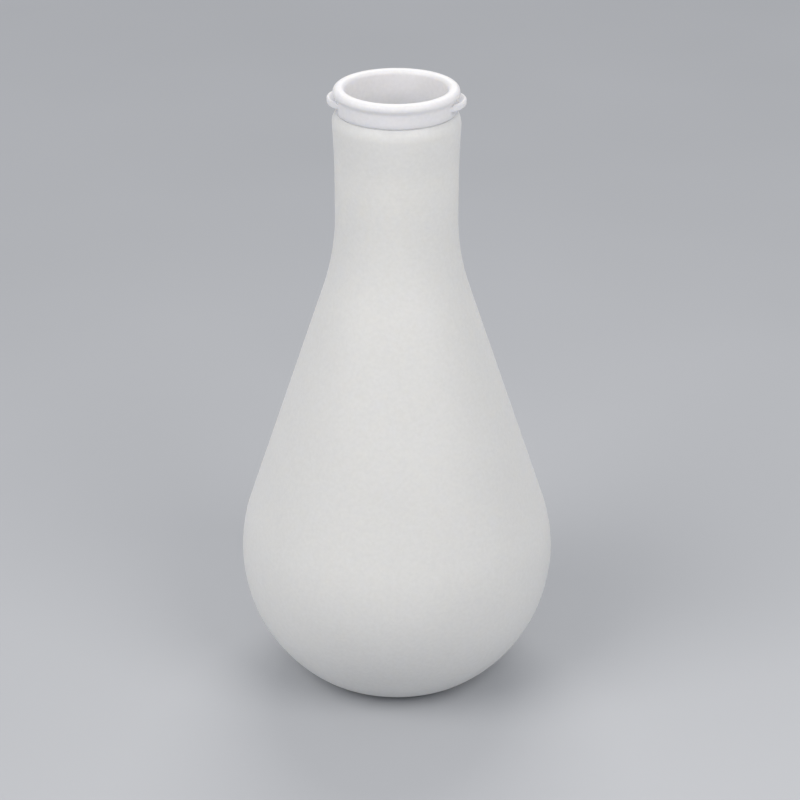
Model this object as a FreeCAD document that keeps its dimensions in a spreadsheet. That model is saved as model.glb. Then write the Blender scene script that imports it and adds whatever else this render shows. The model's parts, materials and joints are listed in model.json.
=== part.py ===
import FreeCAD, Part
import math
import os

import Sketcher

# A pear-shaped wide-mouth flask in moulded plastic: a hollow body, and a mouth ring whose tapered sleeve
# plugs into the neck. The origin is the middle of the base, +Z runs up the axis and the ears lie along X.

# Driving dimensions, in millimetres and degrees
DRIVING = {
    # Shell of the flask
    "bulb_diameter": 77.0,
    "base_diameter": 35.4,  # where the heel runs out into the flat foot
    "heel_radius": 12.0,
    "foot_width": 3.0,  # flat ring that the flask stands on
    "base_recess": 2.0,  # rise of the domed base inside that ring
    "wall": 1.8,
    "shoulder_angle": 18.4,  # of the cone above the bulb, from upright
    "shoulder_radius": 57.7,  # hollow curve from the cone into the neck
    "neck_diameter": 28.6,
    "neck_length": 25.3,  # from the end of that curve to the lip
    # Socket in the top of the neck
    "taper_angle": 2.63,  # of its cone, from upright
    "socket_flare": 0.55,  # how much wider than the neck's bore it is at the lip
    "crown_height": 3.2,  # rounded shoulder below the lip
    "lip_width": 0.75,  # flat top of the neck
    # Mouth ring
    "fit_clearance": 0.05,  # between the sleeve and the socket
    "sleeve_length": 11.0,
    "sleeve_wall": 0.75,  # at the lower end
    "rim_height": 5.7,  # stands above the lip
    "bead_overhang": 0.65,  # how far the bead stands out from the throat
    "bead_radius": 1.1,
    "cove_radius": 1.4,  # hollow under the bead
    "mouth_radius": 1.0,  # rounded inner edge
    # Ears on the ring
    "ear_count": 2,
    "ear_radius": 6.45,  # of its round plan, whose middle lies inside the ring
    "ear_reach": 1.45,  # past the edge of the bead
    "ear_height": 1.7,
    "ear_drop": 2.4,  # top of the ear below the top of the ring
    "ear_dish": 1.4,  # hollow in the top, at the middle of the plan
    "ear_crest_radius": 0.45,  # raised edge round the hollow
    "ear_heel_radius": 0.5,  # lower edge
}

# Sizes and heights that follow from them
DERIVED = {
    "bulb_radius": "bulb_diameter / 2",
    "base_radius": "base_diameter / 2",
    "neck_radius": "neck_diameter / 2",
    "heel_gap": "bulb_radius - heel_radius",
    "bulb_height": "heel_radius + sqrt(heel_gap ^ 2 - base_radius ^ 2)",
    "cone_foot": "bulb_height + bulb_radius * sin(shoulder_angle)",
    "cone_rise": "(bulb_radius * cos(shoulder_angle) - neck_radius) / tan(shoulder_angle)",
    "shoulder_height": "cone_foot + cone_rise + shoulder_radius * tan(shoulder_angle / 2)",
    "dome_radius": "((base_radius - foot_width) ^ 2 + base_recess ^ 2) / (2 * base_recess)",
    "lip_height": "shoulder_height + neck_length",
    "socket_radius": "neck_radius - wall + socket_flare",
    "lip_radius": "socket_radius + lip_width",
    "crown_radius": "socket_radius - crown_height * tan(taper_angle) + wall / cos(taper_angle)",
    "sleeve_radius": "socket_radius - fit_clearance / cos(taper_angle)",
    "sleeve_foot": "lip_height - sleeve_length",
    "bore_radius": "sleeve_radius - sleeve_length * tan(taper_angle) - sleeve_wall",
    "rim_radius": "lip_radius + bead_overhang",
    "rim_top": "lip_height + rim_height",
    "ear_axis": "rim_radius + ear_reach - ear_radius",
    "ear_top": "rim_top - ear_drop",
}

UPRIGHT = FreeCAD.Vector(0, 0, 1)
FULL_TURN = 360
START, END, MIDDLE = range(1, 4)  # numbers of the points of a sketched edge
LEVEL_AXIS, UPRIGHT_AXIS = range(-1, -3, -1)  # numbers of a sketch's own axes
ORIGIN = (LEVEL_AXIS, START)

doc = FreeCAD.newDocument("flask")


def make_sheet():
    """The sheet of driving dimensions, with the derived ones below them."""
    sheet = doc.addObject("Spreadsheet::Sheet", "Sizes")
    formulas = {name: f"={rule}" for name, rule in DERIVED.items()}
    for row, (name, content) in enumerate({**DRIVING, **formulas}.items(), 1):
        sheet.set(f"A{row}", name)
        sheet.set(f"B{row}", str(content))
        sheet.setAlias(f"B{row}", name)
    doc.recompute()
    return sheet


sheet = make_sheet()


def size(name):
    return float(sheet.get(name))


class Section:
    """A half section in a body's upright mid-plane: a closed run of lines and arcs tied to the sheet."""

    def __init__(self, body, name):
        planes = {feature.Role: feature for feature in body.Origin.OriginFeatures}
        self.sketch = body.newObject("Sketcher::SketchObject", name)
        self.sketch.AttachmentSupport = [(planes["XZ_Plane"], "")]
        self.sketch.MapMode = "FlatFace"
        self.ends = []

    def line(self, start, end):
        segment = Part.LineSegment(FreeCAD.Vector(*start, 0), FreeCAD.Vector(*end, 0))
        edge = self.sketch.addGeometry(segment, False)
        self.ends.append(((edge, START), (edge, END)))
        return edge

    def arc(self, centre, start, end, clockwise=False):
        first, last = (end, start) if clockwise else (start, end)
        angles = [math.atan2(y - centre[1], x - centre[0]) for x, y in (first, last)]
        if angles[1] < angles[0]:
            angles[1] += 2 * math.pi
        circle = Part.Circle(FreeCAD.Vector(*centre, 0), UPRIGHT, math.dist(centre, start))
        edge = self.sketch.addGeometry(Part.ArcOfCircle(circle, *angles), False)
        ends = ((edge, START), (edge, END))
        self.ends.append(ends[::-1] if clockwise else ends)
        return edge

    def rule(self, kind, *where):
        return self.sketch.addConstraint(Sketcher.Constraint(kind, *where))

    def close(self, smooth):
        """Joins each edge to the next, and the last to the first. An edge in smooth runs on without a corner."""
        for (_, leaving), (arriving, _) in zip(self.ends, self.ends[1:] + self.ends[:1]):
            kind = "Tangent" if leaving[0] in smooth else "Coincident"
            self.rule(kind, *leaving, *arriving)

    def tie(self, kind, *where, to, plus=""):
        """A dimension that follows a value of the sheet, with other values added or taken off."""
        terms = plus.split()
        amount = size(to)
        for sign, name in zip(terms[::2], terms[1::2]):
            amount += size(name) if sign == "+" else -size(name)
        number = self.rule(kind, *where, amount)
        named = "".join(f" {sign} Sizes.{name}" for sign, name in zip(terms[::2], terms[1::2]))
        self.sketch.setExpression(f"Constraints[{number}]", f"Sizes.{to}{named}")

    def lean(self, edge, degrees_rule, degrees):
        """The direction of a line, from level."""
        number = self.rule("Angle", edge, math.radians(degrees))
        self.sketch.setExpression(f"Constraints[{number}]", degrees_rule)

    def place(self, edge, end, across, up, across_plus="", up_plus=""):
        """Ties both coordinates of a point."""
        self.tie("DistanceX", *ORIGIN, edge, end, to=across, plus=across_plus)
        self.tie("DistanceY", *ORIGIN, edge, end, to=up, plus=up_plus)


def spin(body, kind, name, section, axis="V_Axis"):
    """A full turn of a section about an axis, added to the body or cut from it."""
    feature = body.newObject(f"PartDesign::{kind}", name)
    feature.Profile = section.sketch
    feature.ReferenceAxis = (section.sketch, [axis])
    feature.Angle = FULL_TURN
    doc.recompute()
    return feature


def shell_section(body, name, walls):
    """The pear form: its outside with walls 0, or its hollow, one wall further in, with walls 1."""
    inset = walls * size("wall")
    inward = "- wall" if walls else ""
    outward = "+ wall" if walls else ""
    lean = math.radians(size("shoulder_angle"))
    taper = math.radians(size("taper_angle"))
    base = size("base_radius")
    neck = size("neck_radius") - inset
    bulb = size("bulb_radius") - inset
    hollow = size("shoulder_radius") + inset
    dome = size("dome_radius") + inset
    lip = size("lip_height")

    bulb_centre = (0, size("bulb_height"))
    heel_centre = (base, size("heel_radius"))
    dome_centre = (0, size("base_recess") - size("dome_radius"))
    shoulder_centre = (size("neck_radius") + size("shoulder_radius"), size("shoulder_height"))

    dome_top = (0, size("base_recess") + inset)
    dome_edge = (math.sqrt(dome**2 - (inset - dome_centre[1]) ** 2), inset)
    foot_edge = (base, inset)
    reach = bulb / size("heel_gap")
    heel_top = (base * reach, bulb_centre[1] + (heel_centre[1] - bulb_centre[1]) * reach)
    cone_foot = (bulb * math.cos(lean), bulb_centre[1] + bulb * math.sin(lean))
    cone_top = (
        shoulder_centre[0] - hollow * math.cos(lean),
        shoulder_centre[1] - hollow * math.sin(lean),
    )
    neck_foot = (neck, shoulder_centre[1])
    if walls:
        flare_top = (size("socket_radius"), lip)
    else:
        flare_top = (size("crown_radius"), lip - size("crown_height"))
    flare_foot = (neck, flare_top[1] - (flare_top[0] - neck) / math.tan(taper))

    section = Section(body, name)
    base_dome = section.arc(dome_centre, dome_top, dome_edge, clockwise=True)
    foot = section.line(dome_edge, foot_edge)
    heel = section.arc(heel_centre, foot_edge, heel_top)
    belly = section.arc(bulb_centre, heel_top, cone_foot)
    cone = section.line(cone_foot, cone_top)
    shoulder = section.arc(shoulder_centre, cone_top, neck_foot, clockwise=True)
    neck_side = section.line(neck_foot, flare_foot)
    flare = section.line(flare_foot, flare_top)
    smooth = [foot, heel, belly, cone, shoulder]
    lip_edge = flare_top
    if not walls:
        lip_edge = (size("lip_radius"), lip)
        rise, step = size("crown_height"), flare_top[0] - lip_edge[0]
        bend = (rise**2 + step**2) / (2 * (rise * math.sin(taper) + step * math.cos(taper)))
        crown_centre = (flare_top[0] - bend * math.cos(taper), flare_top[1] + bend * math.sin(taper))
        crown = section.arc(crown_centre, flare_top, lip_edge)
        smooth.append(flare)
    top = section.line(lip_edge, (0, lip))
    axis = section.line((0, lip), dome_top)
    section.close(smooth)

    section.rule("PointOnObject", base_dome, MIDDLE, UPRIGHT_AXIS)
    section.rule("PointOnObject", base_dome, END, UPRIGHT_AXIS)
    section.tie("DistanceY", *ORIGIN, base_dome, END, to="base_recess", plus=outward)
    section.rule("Horizontal", foot)
    section.tie("DistanceX", *ORIGIN, foot, END, to="base_radius")
    if walls:
        section.tie("DistanceY", *ORIGIN, foot, END, to="wall")
        section.tie("Radius", base_dome, to="dome_radius", plus="+ wall")
    else:
        section.rule("PointOnObject", foot, END, LEVEL_AXIS)
        section.tie("DistanceX", foot, START, foot, END, to="foot_width")
    section.tie("Radius", heel, to="heel_radius", plus=inward)
    section.rule("PointOnObject", belly, MIDDLE, UPRIGHT_AXIS)
    section.tie("Radius", belly, to="bulb_radius", plus=inward)
    section.lean(cone, "90 + Sizes.shoulder_angle", 90 + size("shoulder_angle"))
    section.tie("Radius", shoulder, to="shoulder_radius", plus=outward)
    section.rule("Vertical", neck_side)
    section.tie("DistanceX", *ORIGIN, neck_side, END, to="neck_radius", plus=inward)
    section.lean(flare, "90 - Sizes.taper_angle", 90 - size("taper_angle"))
    if walls:
        section.place(flare, END, "socket_radius", "lip_height")
    else:
        section.place(flare, END, "crown_radius", "lip_height", up_plus="- crown_height")
        section.place(crown, END, "lip_radius", "lip_height")
    section.rule("Horizontal", top)
    section.rule("Vertical", axis)
    return section


def flask_body():
    """The hollow pear-shaped shell, standing on a flat foot round a domed base."""
    body = doc.addObject("PartDesign::Body", "flask_body")
    spin(body, "Revolution", "PearForm", shell_section(body, "PearOutline", walls=0))
    spin(body, "Groove", "Hollow", shell_section(body, "HollowOutline", walls=1))
    return body


def ring_section(body):
    """The ring without its bore: tapered sleeve, seat on the lip, throat, cove and bead."""
    taper = math.radians(size("taper_angle"))
    lip, foot, top = size("lip_height"), size("sleeve_foot"), size("rim_top")
    throat, bead, cove = size("lip_radius"), size("bead_radius"), size("cove_radius")
    bead_centre = (size("rim_radius") - bead, top - bead)
    swing = math.acos(1 - size("bead_overhang") / (bead + cove))
    cove_centre = (throat + cove, bead_centre[1] - (bead + cove) * math.sin(swing))
    turn = (bead_centre[0] + bead * math.cos(swing), bead_centre[1] - bead * math.sin(swing))
    sleeve_edge = (size("sleeve_radius") - size("sleeve_length") * math.tan(taper), foot)
    sleeve_top = (size("sleeve_radius"), lip)
    throat_top = (throat, cove_centre[1])
    bead_top = (bead_centre[0], top)

    section = Section(body, "RingOutline")
    bottom = section.line((0, foot), sleeve_edge)
    sleeve = section.line(sleeve_edge, sleeve_top)
    seat = section.line(sleeve_top, (throat, lip))
    throat_side = section.line((throat, lip), throat_top)
    cove_arc = section.arc(cove_centre, throat_top, turn, clockwise=True)
    bead_arc = section.arc(bead_centre, turn, bead_top)
    rim = section.line(bead_top, (0, top))
    axis = section.line((0, top), (0, foot))
    section.close(smooth=[throat_side, cove_arc, bead_arc])

    section.rule("PointOnObject", bottom, START, UPRIGHT_AXIS)
    section.tie("DistanceY", *ORIGIN, bottom, START, to="sleeve_foot")
    section.rule("Horizontal", bottom)
    section.lean(sleeve, "90 - Sizes.taper_angle", 90 - size("taper_angle"))
    section.place(sleeve, END, "sleeve_radius", "lip_height")
    section.rule("Horizontal", seat)
    section.tie("DistanceX", *ORIGIN, seat, END, to="lip_radius")
    section.rule("Vertical", throat_side)
    section.tie("Radius", cove_arc, to="cove_radius")
    section.tie("Radius", bead_arc, to="bead_radius")
    section.place(bead_arc, END, "rim_radius", "rim_top", across_plus="- bead_radius")
    section.rule("Horizontal", rim)
    section.rule("Vertical", axis)
    return section


def ear_section(body):
    """One ear, to be turned about its own upright axis: flat below, dished on top, with a raised edge."""
    axis_x, reach, top = size("ear_axis"), size("ear_radius"), size("ear_top")
    bottom_z = top - size("ear_height")
    heel, crest, dish = size("ear_heel_radius"), size("ear_crest_radius"), size("ear_dish")
    tip = axis_x + reach
    hollow = ((reach - crest) ** 2 + dish**2) / (2 * dish) - crest
    crest_centre = (tip - crest, top - crest)
    dish_centre = (axis_x, top - dish + hollow)
    share = crest / (crest + hollow)
    turn = tuple(a + (b - a) * share for a, b in zip(crest_centre, dish_centre))
    dish_foot = (axis_x, top - dish)

    section = Section(body, "EarOutline")
    bottom = section.line((axis_x, bottom_z), (tip - heel, bottom_z))
    heel_arc = section.arc((tip - heel, bottom_z + heel), (tip - heel, bottom_z), (tip, bottom_z + heel))
    side = section.line((tip, bottom_z + heel), (tip, top - crest))
    crest_arc = section.arc(crest_centre, (tip, top - crest), turn)
    dish_arc = section.arc(dish_centre, turn, dish_foot, clockwise=True)
    axis = section.line(dish_foot, (axis_x, bottom_z))
    section.close(smooth=[bottom, heel_arc, side, crest_arc])

    section.place(bottom, START, "ear_axis", "ear_top", up_plus="- ear_height")
    section.rule("Horizontal", bottom)
    section.tie("Radius", heel_arc, to="ear_heel_radius")
    section.rule("Vertical", side)
    section.tie("DistanceX", *ORIGIN, side, END, to="ear_axis", plus="+ ear_radius")
    section.tie("Radius", crest_arc, to="ear_crest_radius")
    section.tie("DistanceY", *ORIGIN, crest_arc, MIDDLE, to="ear_top", plus="- ear_crest_radius")
    section.tie("DistanceX", *ORIGIN, dish_arc, MIDDLE, to="ear_axis")
    section.tie("DistanceY", *ORIGIN, axis, START, to="ear_top", plus="- ear_dish")
    section.rule("Vertical", axis)
    pivot = Part.LineSegment(FreeCAD.Vector(axis_x, bottom_z, 0), FreeCAD.Vector(axis_x, top, 0))
    pivot_edge = section.sketch.addGeometry(pivot, True)
    section.rule("Coincident", pivot_edge, START, bottom, START)
    section.rule("Vertical", pivot_edge)
    section.tie("DistanceY", pivot_edge, START, pivot_edge, END, to="ear_height")
    return section


def bore_section(body):
    """The bore of the ring, widening in a rounded edge at the mouth."""
    bore, edge = size("bore_radius"), size("mouth_radius")
    foot, top = size("sleeve_foot"), size("rim_top")
    mouth_centre = (bore + edge, top - edge)

    section = Section(body, "BoreOutline")
    bottom = section.line((0, foot), (bore, foot))
    side = section.line((bore, foot), (bore, top - edge))
    mouth = section.arc(mouth_centre, (bore, top - edge), (bore + edge, top), clockwise=True)
    rim = section.line((bore + edge, top), (0, top))
    axis = section.line((0, top), (0, foot))
    section.close(smooth=[side, mouth])

    section.rule("PointOnObject", bottom, START, UPRIGHT_AXIS)
    section.tie("DistanceY", *ORIGIN, bottom, START, to="sleeve_foot")
    section.rule("Horizontal", bottom)
    section.rule("Vertical", side)
    section.tie("DistanceX", *ORIGIN, side, START, to="bore_radius")
    section.tie("Radius", mouth, to="mouth_radius")
    section.rule("Horizontal", rim)
    section.tie("DistanceY", *ORIGIN, rim, START, to="rim_top")
    section.rule("Vertical", axis)
    return section


def mouth_ring():
    """The ring in the mouth, seated on the lip by its throat and in the socket by its sleeve."""
    body = doc.addObject("PartDesign::Body", "mouth_ring")
    outline = ring_section(body)
    spin(body, "Revolution", "RingForm", outline)
    ear = spin(body, "Revolution", "Ear", ear_section(body), axis="Axis0")
    ears = body.newObject("PartDesign::PolarPattern", "Ears")
    ears.Originals = [ear]
    ears.Axis = (outline.sketch, ["V_Axis"])
    ears.Angle = FULL_TURN
    ears.setExpression("Occurrences", "Sizes.ear_count")
    body.Tip = ears
    doc.recompute()
    spin(body, "Groove", "Bore", bore_section(body))
    return body


def check(bodies):
    """Stops before anything is written if a feature failed or a piece isn't one sound solid."""
    for item in doc.Objects:
        if "Invalid" in item.State or "Error" in item.State:
            raise RuntimeError(f"{item.Name} failed: {item.State}")
    for body in bodies:
        if body.Shape.isNull() or not body.Shape.isValid() or len(body.Shape.Solids) != 1:
            raise RuntimeError(f"{body.Label} isn't one valid solid")
        cuts = [item for item in body.Group if item.TypeId == "PartDesign::Groove"]
        for cut in cuts:
            if cut.Shape.Volume >= cut.BaseFeature.Shape.Volume:
                raise RuntimeError(f"{cut.Name} cuts nothing")


def main():
    bodies = [flask_body(), mouth_ring()]
    doc.recompute()
    check(bodies)
    os.makedirs("parts", exist_ok=True)
    for body in bodies:
        body.Shape.exportStep(f"parts/{body.Label}.step")
        print(body.Label, round(body.Shape.Volume), "mm3")


main()
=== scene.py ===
import json
import math

import bmesh
import bpy
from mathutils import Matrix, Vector


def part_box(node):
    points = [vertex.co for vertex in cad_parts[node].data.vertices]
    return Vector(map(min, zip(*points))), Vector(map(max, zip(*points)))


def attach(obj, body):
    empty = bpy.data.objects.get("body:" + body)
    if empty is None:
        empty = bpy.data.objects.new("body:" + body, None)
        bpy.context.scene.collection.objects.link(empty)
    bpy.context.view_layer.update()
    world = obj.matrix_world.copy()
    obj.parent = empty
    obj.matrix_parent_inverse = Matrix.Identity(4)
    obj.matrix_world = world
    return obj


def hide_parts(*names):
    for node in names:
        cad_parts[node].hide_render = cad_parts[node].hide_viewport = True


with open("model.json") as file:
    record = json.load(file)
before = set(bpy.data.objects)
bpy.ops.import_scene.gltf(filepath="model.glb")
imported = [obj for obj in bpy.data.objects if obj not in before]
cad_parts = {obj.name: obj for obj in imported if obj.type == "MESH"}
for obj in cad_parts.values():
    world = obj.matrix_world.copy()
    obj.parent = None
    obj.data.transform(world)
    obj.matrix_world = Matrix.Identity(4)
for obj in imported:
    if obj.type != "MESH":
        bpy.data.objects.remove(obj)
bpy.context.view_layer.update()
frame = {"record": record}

# A waxy white pear-shaped flask and its eared mouth ring, standing on a pale studio floor.
# Both are turned from the sizes of the solids that they stand for, with softer edges and
# the marks that moulding leaves.

MILLIMETRE = 0.001

# Sizes of the shell, in millimetres and degrees
BULB_RADIUS = 38.5
BASE_RADIUS = 17.7
HEEL_RADIUS = 12.0
FOOT_WIDTH = 3.0
BASE_RECESS = 2.0
WALL = 1.8
SHOULDER_ANGLE = 18.4
SHOULDER_RADIUS = 57.7
NECK_RADIUS = 14.3
LIP_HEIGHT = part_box("flask_body")[1].z / MILLIMETRE
LIP_WIDTH = 0.75
LIP_EDGE = 0.12  # set-back of the lip's softened edges
CROWN_HEIGHT = 3.2
TAPER_ANGLE = 2.63  # of the neck's flare, of its socket and of the ring's sleeve
SOCKET_FLARE = 0.55  # how much wider than the neck's bore the socket is at the lip
FLARE_EDGE = 3.0  # set-back of the bend into the neck's flare

# Sizes of the ring
RIM_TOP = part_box("mouth_ring")[1].z / MILLIMETRE
RIM_RADIUS = 14.45
BEAD_RADIUS = 1.1
COVE_RADIUS = 1.4
MOUTH_RADIUS = 1.0
SEAT_GAP = 0.02  # hair line between the ring and the lip
SLEEVE_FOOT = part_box("mouth_ring")[0].z / MILLIMETRE
SLEEVE_WALL = 0.75  # at its foot
FIT_CLEARANCE = 0.05  # between the sleeve and the socket
RING_EDGE = 0.12  # set-back of the ring's softened edges
EARS = 2
EAR_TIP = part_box("mouth_ring")[1].x / MILLIMETRE
EAR_RADIUS = 6.45
EAR_DROP = 2.4  # from the top of the rim to the top of an ear
EAR_HEIGHT = 1.7
EAR_DISH = 1.4  # depth of the hollow in an ear's top
EAR_CREST_RADIUS = 0.45
EAR_HEEL_RADIUS = 0.5
EAR_ROOT = 0.08  # share of an ear's reach that its root takes to curve out of the throat
EAR_LEVEL = 0.3  # share of its reach from which an ear's edge is level

# Sizes that follow from them
DOME_RADIUS = ((BASE_RADIUS - FOOT_WIDTH) ** 2 + BASE_RECESS ** 2) / (2 * BASE_RECESS)
BULB_HEIGHT = HEEL_RADIUS + math.sqrt((BULB_RADIUS - HEEL_RADIUS) ** 2 - BASE_RADIUS ** 2)
HEEL_ANGLE = math.degrees(math.atan2(BULB_HEIGHT - HEEL_RADIUS, BASE_RADIUS))
SHOULDER_SLOPE = math.radians(SHOULDER_ANGLE)
CONE_FOOT = BULB_HEIGHT + BULB_RADIUS * math.sin(SHOULDER_SLOPE)
CONE_RISE = (BULB_RADIUS * math.cos(SHOULDER_SLOPE) - NECK_RADIUS) / math.tan(SHOULDER_SLOPE)
SHOULDER_HEIGHT = CONE_FOOT + CONE_RISE + SHOULDER_RADIUS * math.tan(SHOULDER_SLOPE / 2)
TAPER_SLOPE = math.radians(TAPER_ANGLE)
TAPER = math.tan(TAPER_SLOPE)
NECK_BORE = NECK_RADIUS - WALL
SOCKET_RADIUS = NECK_BORE + SOCKET_FLARE
LIP_RADIUS = SOCKET_RADIUS + LIP_WIDTH
CROWN_RADIUS = SOCKET_RADIUS - CROWN_HEIGHT * TAPER + WALL / math.cos(TAPER_SLOPE)
SLEEVE_RADIUS = SOCKET_RADIUS - FIT_CLEARANCE / math.cos(TAPER_SLOPE)
SLEEVE_FOOT_RADIUS = SLEEVE_RADIUS - (LIP_HEIGHT - SLEEVE_FOOT) * TAPER
BORE_RADIUS = SLEEVE_FOOT_RADIUS - SLEEVE_WALL
EAR_AXIS = EAR_TIP - EAR_RADIUS
EAR_TOP = RIM_TOP - EAR_DROP
EAR_FOOT = EAR_TOP - EAR_HEIGHT
CREST_REACH = EAR_RADIUS - EAR_CREST_RADIUS
DISH_RADIUS = (CREST_REACH ** 2 + EAR_DISH ** 2) / (2 * EAR_DISH) - EAR_CREST_RADIUS

# Marks of moulding, in millimetres
SEAM_HEIGHT = 0.09
SEAM_WIDTH = 0.22
SEAM_BESIDE = (0.12, 0.26, 0.5)  # extra columns beside each seam
SEAM_FOOT_FADE = (0.3, 4.0)  # heights between which the seam grows out of the heel
SEAM_LIP_FADE = (0.3, 2.0)  # depths below the lip between which it grows out of the crown
PINCH_HEIGHT = 0.3
PINCH_WIDTH = 0.45
PINCH_REACH = 12.0  # from the middle of the base to each end of the weld
PINCH_FADE = 2.0  # length over which the weld sinks away at its ends

# Fineness of the meshes
SHELL_COLUMNS = 192
RUN_LENGTH = 2.5  # longest edge up a straight run, in millimetres
EAR_POINTS = 44  # points along the section of an ear
EAR_SPREAD = 27  # degrees each side of an ear that have close columns
EAR_STEPS = 72  # columns across that spread
PLAIN_STEPS = 72  # columns between one spread and the next

# Steps along each curve of the outlines
DOME_STEPS = 20
HEEL_STEPS = 14
BULB_STEPS = 40
SHOULDER_STEPS = 16
CROWN_STEPS = 12
MOUTH_STEPS = 12
BEAD_STEPS = 18
COVE_STEPS = 8
DISH_STEPS = 10
CREST_STEPS = 14
EAR_HEEL_STEPS = 10
EDGE_STEPS = 6

# Finish of the plastic
SHELL_FINISH = {"roughness": 0.5, "depth": 0.002}  # the depth in metres that light sinks in
RING_FINISH = {"roughness": 0.42, "depth": 0.0015}
ROUGHNESS_SPREAD = 0.06  # either side of the finish's own
SCATTER = (1.0, 0.95, 0.85)  # how far red, green and blue light sink in, as shares of the depth
REFRACTION = 1.5
DARKEST = 0.965  # share of a piece's colour at the dark end of its mottle
LIGHTEST = 1.025  # and at the light end
SPECK_SHARE = 0.6  # of the mottle that is fine specks, and not broad clouds
GRAIN_STRENGTH = 0.12
GRAIN_HEIGHT = 0.0001
COLOUR_RANGE = (0.3, 0.7)  # values of a pattern between which a colour changes

# Patterns, each by the scale and the detail of its noise
CLOUDS = (45, 3)
SPECKS = (1100, 1)
SHEEN = (160, 4)
GRAIN = (1500, 3)
FLOOR_CLOUDS = (6, 2)

# Studio, in metres
FLOOR_SIZE = 400.0
FLOOR_DARK = (0.479, 0.495, 0.521)
FLOOR_LIGHT = (0.499, 0.515, 0.543)
FLOOR_ROUGHNESS = 0.85
LAMP_COLOUR = (1.0, 0.964, 0.922)
SOFTBOX_SIZE = 0.3
SOFTBOXES = {  # place and power
    "left_softbox": ((-0.27, -0.24, 0.36), 0.43),
    "right_softbox": ((0.27, -0.24, 0.36), 0.8),
}
LAMP_SPREAD = math.radians(40)
LAMPS = {  # direction that the light comes from, and strength
    "front": ((-1.6, -1.2, 2.0), 0.7),
    "back": ((0.0, 2.0, 1.9), 1.1),
}
SKY_COLOUR = (0.91, 0.936, 0.995)
SKY_STRENGTH = 0.42

# Camera, in metres, with its sensor and focal length in millimetres
SENSOR = 36.0
FOCAL_LENGTH = 94.5
CLIP_START = 0.01
CAMERA_DISTANCE = 0.5093
CAMERA_PITCH = math.radians(26.5)
CAMERA_TURN = math.radians(4.5)  # to the right of the -Y direction
CAMERA_SIDE = Vector((math.cos(CAMERA_TURN), math.sin(CAMERA_TURN), 0))
AIM_SIDE = 0.0008
AIM_HEIGHT = 0.0719
AIM = CAMERA_SIDE * AIM_SIDE + Vector((0, 0, AIM_HEIGHT))


# Outlines, as lists of points at a radius and a height

def arc(centre, radius, start, end, steps):
    """Points along an arc, from one angle in degrees to another."""
    across, up = centre
    angles = [math.radians(start + (end - start) * step / steps) for step in range(steps + 1)]
    return [(across + radius * math.cos(angle), up + radius * math.sin(angle)) for angle in angles]


def towards(start, end, part):
    """The point that lies a part of the way from one point to another."""
    return tuple(a + (b - a) * part for a, b in zip(start, end))


def softened(before, corner, after, set_back):
    """A corner turned into a short curve that leaves each side at the set-back."""
    first = towards(corner, before, set_back / math.dist(corner, before))
    last = towards(corner, after, set_back / math.dist(corner, after))
    parts = [step / EDGE_STEPS for step in range(EDGE_STEPS + 1)]
    return [towards(towards(first, corner, part), towards(corner, last, part), part) for part in parts]


def divided(points, longest):
    """The same outline with its long straight runs cut into shorter ones."""
    made = [points[0]]
    for start, end in zip(points, points[1:]):
        count = max(1, math.ceil(math.dist(start, end) / longest))
        made += [towards(start, end, step / count) for step in range(1, count + 1)]
    return made


def spaced(points, count):
    """Points at even steps along an outline."""
    reached = [0.0]
    for start, end in zip(points, points[1:]):
        reached.append(reached[-1] + math.dist(start, end))
    made = []
    edge = 0
    for step in range(count):
        wanted = reached[-1] * step / (count - 1)
        while edge < len(points) - 2 and reached[edge + 1] < wanted:
            edge += 1
        part = (wanted - reached[edge]) / (reached[edge + 1] - reached[edge])
        made.append(towards(points[edge], points[edge + 1], part))
    return made


def eased(start, end, value):
    """Runs from 0 at start to 1 at end, without a corner."""
    part = min(1.0, max(0.0, (value - start) / (end - start)))
    return part * part * (3 - 2 * part)


# Meshes from rows of points round the axis

def around(radius, angle, height):
    """The point at a radius, an angle round the axis and a height."""
    return radius * math.cos(angle), radius * math.sin(angle), height


def as_object(name, mesh):
    """Puts a finished mesh in the scene."""
    data = bpy.data.meshes.new(name)
    mesh.to_mesh(data)
    mesh.free()
    piece = bpy.data.objects.new(name, data)
    bpy.context.scene.collection.objects.link(piece)
    return piece


def turned(name, rows, poles=()):
    """A closed skin over rows of points, from pole to pole, or from the last row back to the first."""
    mesh = bmesh.new()
    lines = [[mesh.verts.new(Vector(point) * MILLIMETRE) for point in row] for row in rows]
    pairs = list(zip(lines, lines[1:]))
    if poles:
        for pole, line in zip(poles, (lines[0], lines[-1])):
            tip = mesh.verts.new(Vector((0, 0, pole)) * MILLIMETRE)
            for start, end in zip(line, line[1:] + line[:1]):
                mesh.faces.new((tip, start, end))
    else:
        pairs.append((lines[-1], lines[0]))
    for lower, upper in pairs:
        for corners in zip(lower, lower[1:] + lower[:1], upper[1:] + upper[:1], upper):
            mesh.faces.new(corners)
    bmesh.ops.recalc_face_normals(mesh, faces=mesh.faces)
    for face in mesh.faces:
        face.smooth = True
    return as_object(name, mesh)


# The shell

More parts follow.
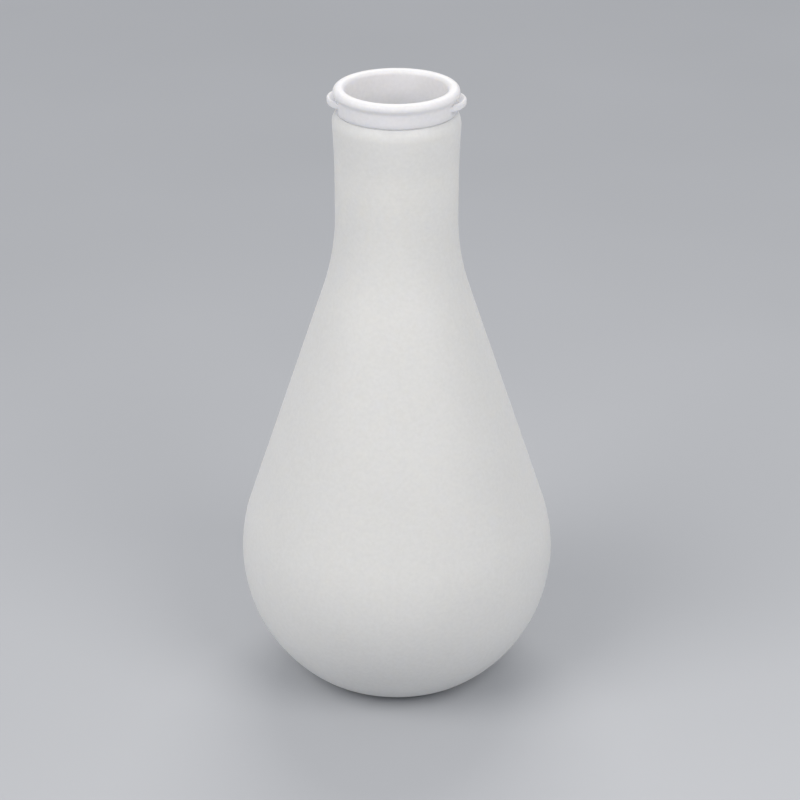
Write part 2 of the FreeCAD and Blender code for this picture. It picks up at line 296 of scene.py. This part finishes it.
def shell_outline(wall):
    """Half section from the middle of the base to the foot of the neck, set in by the wall."""
    foot_edge = math.degrees(math.acos((BASE_RADIUS - FOOT_WIDTH) / DOME_RADIUS))
    dome_centre = (0, BASE_RECESS - DOME_RADIUS + wall)
    heel_centre = (BASE_RADIUS, HEEL_RADIUS)
    bulb_centre = (0, BULB_HEIGHT)
    shoulder_centre = (NECK_RADIUS + SHOULDER_RADIUS, SHOULDER_HEIGHT)
    return [
        *arc(dome_centre, DOME_RADIUS, 90, foot_edge, DOME_STEPS),
        *arc(heel_centre, HEEL_RADIUS - wall, -90, -HEEL_ANGLE, HEEL_STEPS),
        *arc(bulb_centre, BULB_RADIUS - wall, -HEEL_ANGLE, SHOULDER_ANGLE, BULB_STEPS)[1:],
        *arc(shoulder_centre, SHOULDER_RADIUS + wall, 180 + SHOULDER_ANGLE, 180, SHOULDER_STEPS),
    ]


def crown_outline():
    """The rounded top of the neck, which starts in line with its flare and ends at the lip."""
    foot = Vector((CROWN_RADIUS, LIP_HEIGHT - CROWN_HEIGHT))
    inward = Vector((-1, TAPER)).normalized()
    chord = Vector((LIP_RADIUS, LIP_HEIGHT)) - foot
    radius = chord.length_squared / (2 * chord.dot(inward))
    centre = foot + inward * radius
    end = math.degrees(math.atan2(LIP_HEIGHT - centre.y, LIP_RADIUS - centre.x))
    return arc(centre, radius, -TAPER_ANGLE, end, CROWN_STEPS)


def neck_outline():
    """Up the neck's flare, over the crown and the lip, and down the tapered socket into the bore."""
    crown = crown_outline()
    neck_foot = (NECK_RADIUS, SHOULDER_HEIGHT)
    flare_rise = (CROWN_RADIUS - NECK_RADIUS) / TAPER
    flare_foot = (NECK_RADIUS, LIP_HEIGHT - CROWN_HEIGHT - flare_rise)
    outer_edge = (LIP_RADIUS, LIP_HEIGHT)
    inner_edge = (SOCKET_RADIUS, LIP_HEIGHT)
    socket_foot = (NECK_BORE, LIP_HEIGHT - SOCKET_FLARE / TAPER)
    return [
        *softened(neck_foot, flare_foot, crown[0], FLARE_EDGE),
        *crown[:-1],
        *softened(crown[-2], outer_edge, inner_edge, LIP_EDGE),
        *softened(outer_edge, inner_edge, socket_foot, LIP_EDGE),
        socket_foot,
    ]


def seam_columns(radius):
    """Angles round the axis, with close ones beside the two seams on the X axis."""
    step = 2 * math.pi / SHELL_COLUMNS
    spaces = len(SEAM_BESIDE) + 1
    furthest = [step * place / spaces for place in range(1, spaces)]
    beside = [min(gap / radius, limit) for gap, limit in zip(SEAM_BESIDE, furthest)]
    plain = [step * column for column in range(1, SHELL_COLUMNS // 2)]
    half = [0.0, *beside, *plain, *(math.pi - angle for angle in reversed(beside))]
    return half + [math.pi + angle for angle in half]


def ridge(height, width, gap):
    """How high a rounded ridge stands at a gap from its middle line."""
    return height * math.exp(-(gap / width) ** 2)


def seam_rise(radius, height, angle):
    """How far the parting seam, or the pinched weld under the base, stands out from the shell."""
    gap = radius * abs(math.sin(angle))
    if height < BASE_RECESS and radius < BASE_RADIUS:
        share = eased(PINCH_REACH, PINCH_REACH - PINCH_FADE, radius)
        return ridge(PINCH_HEIGHT, PINCH_WIDTH, gap) * share
    share = eased(*SEAM_FOOT_FADE, height) * eased(*SEAM_LIP_FADE, LIP_HEIGHT - height)
    return ridge(SEAM_HEIGHT, SEAM_WIDTH, gap) * share


def shell_rows(outline, marked):
    """Rows at all points of an outline but its ends. Marks stand out square to its surface."""
    rows = []
    for before, (radius, height), after in zip(outline, outline[1:], outline[2:]):
        along = Vector(after) - Vector(before)
        outward = Vector((along.y, -along.x)).normalized()
        row = []
        for angle in seam_columns(radius):
            rise = seam_rise(radius, height, angle) if marked else 0.0
            row.append(around(radius + outward.x * rise, angle, height + outward.y * rise))
        rows.append(row)
    return rows


def make_shell():
    """The hollow shell in one skin, up its outside to the lip and down its inside."""
    outside = divided(shell_outline(0) + neck_outline(), RUN_LENGTH)
    inside = divided(shell_outline(WALL), RUN_LENGTH)[::-1]
    lip = max(range(len(outside)), key=lambda place: outside[place][1])
    outer_rows = shell_rows(outside[:lip + 1], marked=True)
    inner_rows = shell_rows(outside[lip - 1:] + inside, marked=False)
    poles = (BASE_RECESS - PINCH_HEIGHT, BASE_RECESS + WALL)
    shell = turned("flask_shell", outer_rows + inner_rows, poles)
    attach(shell, "flask")
    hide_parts("flask_body")
    return shell


# The mouth ring

def rim_outline():
    """From the top of the bore over the rounded mouth and the bead, and down the cove to the throat."""
    swing = math.degrees(math.acos(1 - (RIM_RADIUS - LIP_RADIUS) / (BEAD_RADIUS + COVE_RADIUS)))
    cove_drop = (BEAD_RADIUS + COVE_RADIUS) * math.sin(math.radians(swing))
    mouth_centre = (BORE_RADIUS + MOUTH_RADIUS, RIM_TOP - MOUTH_RADIUS)
    bead_centre = (RIM_RADIUS - BEAD_RADIUS, RIM_TOP - BEAD_RADIUS)
    cove_centre = (LIP_RADIUS + COVE_RADIUS, RIM_TOP - BEAD_RADIUS - cove_drop)
    return [
        *arc(mouth_centre, MOUTH_RADIUS, 180, 90, MOUTH_STEPS),
        *arc(bead_centre, BEAD_RADIUS, 90, -swing, BEAD_STEPS),
        *arc(cove_centre, COVE_RADIUS, 180 - swing, 180, COVE_STEPS)[1:],
    ]


def ear_outline():
    """Half section through the middle of an ear: its dished top, raised edge, tip and flat underside."""
    dish_centre = Vector((EAR_AXIS, EAR_TOP - EAR_DISH + DISH_RADIUS))
    crest_centre = Vector((EAR_AXIS + CREST_REACH, EAR_TOP - EAR_CREST_RADIUS))
    heel_centre = (EAR_TIP - EAR_HEEL_RADIUS, EAR_FOOT + EAR_HEEL_RADIUS)
    rise = crest_centre - dish_centre
    turn = math.degrees(math.atan2(rise.y, rise.x))
    start = math.degrees(math.asin((LIP_RADIUS - EAR_AXIS) / DISH_RADIUS)) - 90
    return [
        *arc(dish_centre, DISH_RADIUS, start, turn, DISH_STEPS),
        *arc(crest_centre, EAR_CREST_RADIUS, turn + 180, 0, CREST_STEPS)[1:],
        *arc(heel_centre, EAR_HEEL_RADIUS, 0, -90, EAR_HEEL_STEPS),
        (LIP_RADIUS, EAR_FOOT),
    ]


def sleeve_outline(throat, bore):
    """From the throat over the seat, down the tapered sleeve and round its foot to the bore."""
    seat = LIP_HEIGHT + SEAT_GAP
    corners = [
        throat,
        (LIP_RADIUS, seat),
        (SLEEVE_RADIUS, seat),
        (SLEEVE_FOOT_RADIUS, SLEEVE_FOOT),
        (BORE_RADIUS, SLEEVE_FOOT),
        bore,
    ]
    outline = []
    for before, corner, after in zip(corners, corners[1:], corners[2:]):
        outline += softened(before, corner, after, RING_EDGE)
    return outline


def ear_share(angle):
    """1 at the middle of an ear, falling to 0 where its round plan meets the throat."""
    pitch = 2 * math.pi / EARS
    turn = (angle + pitch / 2) % pitch - pitch / 2
    across = EAR_AXIS * math.sin(turn)
    if abs(across) >= EAR_RADIUS:
        return 0.0
    edge = EAR_AXIS * math.cos(turn) + math.sqrt(EAR_RADIUS ** 2 - across ** 2)
    share = max(0.0, (edge - LIP_RADIUS) / (EAR_TIP - LIP_RADIUS))
    return share ** 2 / (share + EAR_ROOT) * (1 + EAR_ROOT)


def ring_columns():
    """Angles round the axis, close together across the ears."""
    pitch = 360 / EARS
    between = pitch - 2 * EAR_SPREAD
    close = [-EAR_SPREAD + 2 * EAR_SPREAD * step / EAR_STEPS for step in range(EAR_STEPS)]
    plain = [EAR_SPREAD + between * step / PLAIN_STEPS for step in range(PLAIN_STEPS)]
    return [math.radians(pitch * ear + turn) for ear in range(EARS) for turn in close + plain]


def ring_rows(plain, eared):
    """Rows that go from the plain outline to the eared one and back across each ear."""
    columns = [(angle, ear_share(angle)) for angle in ring_columns()]
    rows = []
    for (plain_radius, plain_height), (ear_radius, ear_height) in zip(plain, eared):
        row = []
        for angle, share in columns:
            radius = plain_radius + (ear_radius - plain_radius) * share
            height = plain_height + (ear_height - plain_height) * eased(0, EAR_LEVEL, share)
            row.append(around(radius, angle, height))
        rows.append(row)
    return rows


def make_ring():
    """The ring in one skin, over its rim, down its throat and ears, round its sleeve and up its bore."""
    rim = rim_outline()
    eared = spaced(ear_outline(), EAR_POINTS)
    plain = spaced([eared[0], eared[-1]], EAR_POINTS)
    sleeve = sleeve_outline(eared[-1], rim[0])
    ring = turned("eared_ring", ring_rows(rim + plain + sleeve, rim + eared + sleeve))
    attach(ring, "ring")
    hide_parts("mouth_ring")
    return ring


# Materials

def new_material(name):
    """A material, its nodes, their links and its shader."""
    material = bpy.data.materials.new(name)
    material.use_nodes = True
    nodes = material.node_tree.nodes
    return material, nodes, material.node_tree.links, nodes["Principled BSDF"]


def noise(nodes, links, scale, detail):
    """A cloudy pattern in the object's own space."""
    place = nodes.new("ShaderNodeTexCoord")
    pattern = nodes.new("ShaderNodeTexNoise")
    pattern.inputs["Scale"].default_value = scale
    pattern.inputs["Detail"].default_value = detail
    links.new(place.outputs["Object"], pattern.inputs["Vector"])
    return pattern.outputs["Fac"]


def ramp(nodes, links, source, dark, light):
    """Turns a pattern into a colour between two."""
    scale = nodes.new("ShaderNodeValToRGB")
    for end, place, colour in zip(scale.color_ramp.elements, COLOUR_RANGE, (dark, light)):
        end.position = place
        end.color = (*colour, 1)
    links.new(source, scale.inputs["Fac"])
    return scale.outputs["Color"]


def waxy_plastic(name, colour, roughness, depth):
    """Natural polyethylene, faintly mottled and finely matt, into which light sinks a little."""
    material, nodes, links, shader = new_material(name)
    mottle = nodes.new("ShaderNodeMix")
    mottle.inputs["Factor"].default_value = SPECK_SHARE
    links.new(noise(nodes, links, *CLOUDS), mottle.inputs["A"])
    links.new(noise(nodes, links, *SPECKS), mottle.inputs["B"])
    dark = [channel * DARKEST for channel in colour]
    light = [channel * LIGHTEST for channel in colour]
    links.new(ramp(nodes, links, mottle.outputs["Result"], dark, light), shader.inputs["Base Color"])
    shader.inputs["Subsurface Weight"].default_value = 1.0
    shader.inputs["Subsurface Radius"].default_value = SCATTER
    shader.inputs["Subsurface Scale"].default_value = depth
    shader.inputs["IOR"].default_value = REFRACTION
    rough = nodes.new("ShaderNodeMapRange")
    rough.inputs["To Min"].default_value = roughness - ROUGHNESS_SPREAD
    rough.inputs["To Max"].default_value = roughness + ROUGHNESS_SPREAD
    links.new(noise(nodes, links, *SHEEN), rough.inputs["Value"])
    links.new(rough.outputs["Result"], shader.inputs["Roughness"])
    grain = nodes.new("ShaderNodeBump")
    grain.inputs["Strength"].default_value = GRAIN_STRENGTH
    grain.inputs["Distance"].default_value = GRAIN_HEIGHT
    links.new(noise(nodes, links, *GRAIN), grain.inputs["Height"])
    links.new(grain.outputs["Normal"], shader.inputs["Normal"])
    return material


def floor_paint():
    """Plain pale grey, quite matt and a little cloudy."""
    material, nodes, links, shader = new_material("floor_paint")
    cloud = noise(nodes, links, *FLOOR_CLOUDS)
    links.new(ramp(nodes, links, cloud, FLOOR_DARK, FLOOR_LIGHT), shader.inputs["Base Color"])
    shader.inputs["Roughness"].default_value = FLOOR_ROUGHNESS
    shader.inputs["Specular IOR Level"].default_value = 0.0
    return material


# Floor, lights and camera

def make_floor():
    """A level floor that reaches far past the view."""
    mesh = bmesh.new()
    bmesh.ops.create_grid(mesh, x_segments=1, y_segments=1, size=FLOOR_SIZE / 2)
    floor = as_object("floor", mesh)
    floor.data.materials.append(floor_paint())


def make_light(name, kind, source, strength):
    """A light of one kind, turned to shine from a direction."""
    data = bpy.data.lights.new(name, kind)
    data.energy = strength
    data.color = LAMP_COLOUR
    light = bpy.data.objects.new(name, data)
    light.rotation_euler = source.to_track_quat("Z", "Y").to_euler()
    bpy.context.scene.collection.objects.link(light)
    return light


def make_softbox(name, place, power):
    """A round lamp close by, which lights the top of the flask a little more than its foot."""
    light = make_light(name, "AREA", Vector(place) - AIM, power)
    light.location = place
    light.data.shape = "DISK"
    light.data.size = SOFTBOX_SIZE


def make_lamp(name, source, strength):
    """Broad even light, as a large lamp gives with no fall-off across the floor."""
    light = make_light(name, "SUN", Vector(source), strength)
    light.data.angle = LAMP_SPREAD


def make_world():
    """Even light from all round."""
    world = bpy.data.worlds.new("studio")
    world.use_nodes = True
    background = world.node_tree.nodes["Background"]
    background.inputs["Color"].default_value = (*SKY_COLOUR, 1)
    background.inputs["Strength"].default_value = SKY_STRENGTH
    bpy.context.scene.world = world


def make_camera():
    """A camera that looks down at the aim from the front."""
    data = bpy.data.cameras.new("camera")
    data.sensor_width = SENSOR
    data.lens = FOCAL_LENGTH
    data.clip_start = CLIP_START
    camera = bpy.data.objects.new("camera", data)
    level = Vector((math.sin(CAMERA_TURN), -math.cos(CAMERA_TURN), 0))
    back = level * math.cos(CAMERA_PITCH) + Vector((0, 0, math.sin(CAMERA_PITCH)))
    camera.location = AIM + back * CAMERA_DISTANCE
    camera.rotation_euler = (math.pi / 2 - CAMERA_PITCH, 0, CAMERA_TURN)
    bpy.context.scene.collection.objects.link(camera)
    bpy.context.scene.camera = camera


# The whole scene

colours = {entry["slot"]: entry["base_color"] for entry in frame["record"]["materials"]}
shell_plastic = waxy_plastic("natural_plastic", colours["shell"], **SHELL_FINISH)
ring_plastic = waxy_plastic("white_plastic", colours["ring"], **RING_FINISH)
make_shell().data.materials.append(shell_plastic)
make_ring().data.materials.append(ring_plastic)
make_floor()
for name, (place, power) in SOFTBOXES.items():
    make_softbox(name, place, power)
for name, (source, strength) in LAMPS.items():
    make_lamp(name, source, strength)
make_world()
make_camera()
bpy.context.scene.view_settings.view_transform = "Standard"
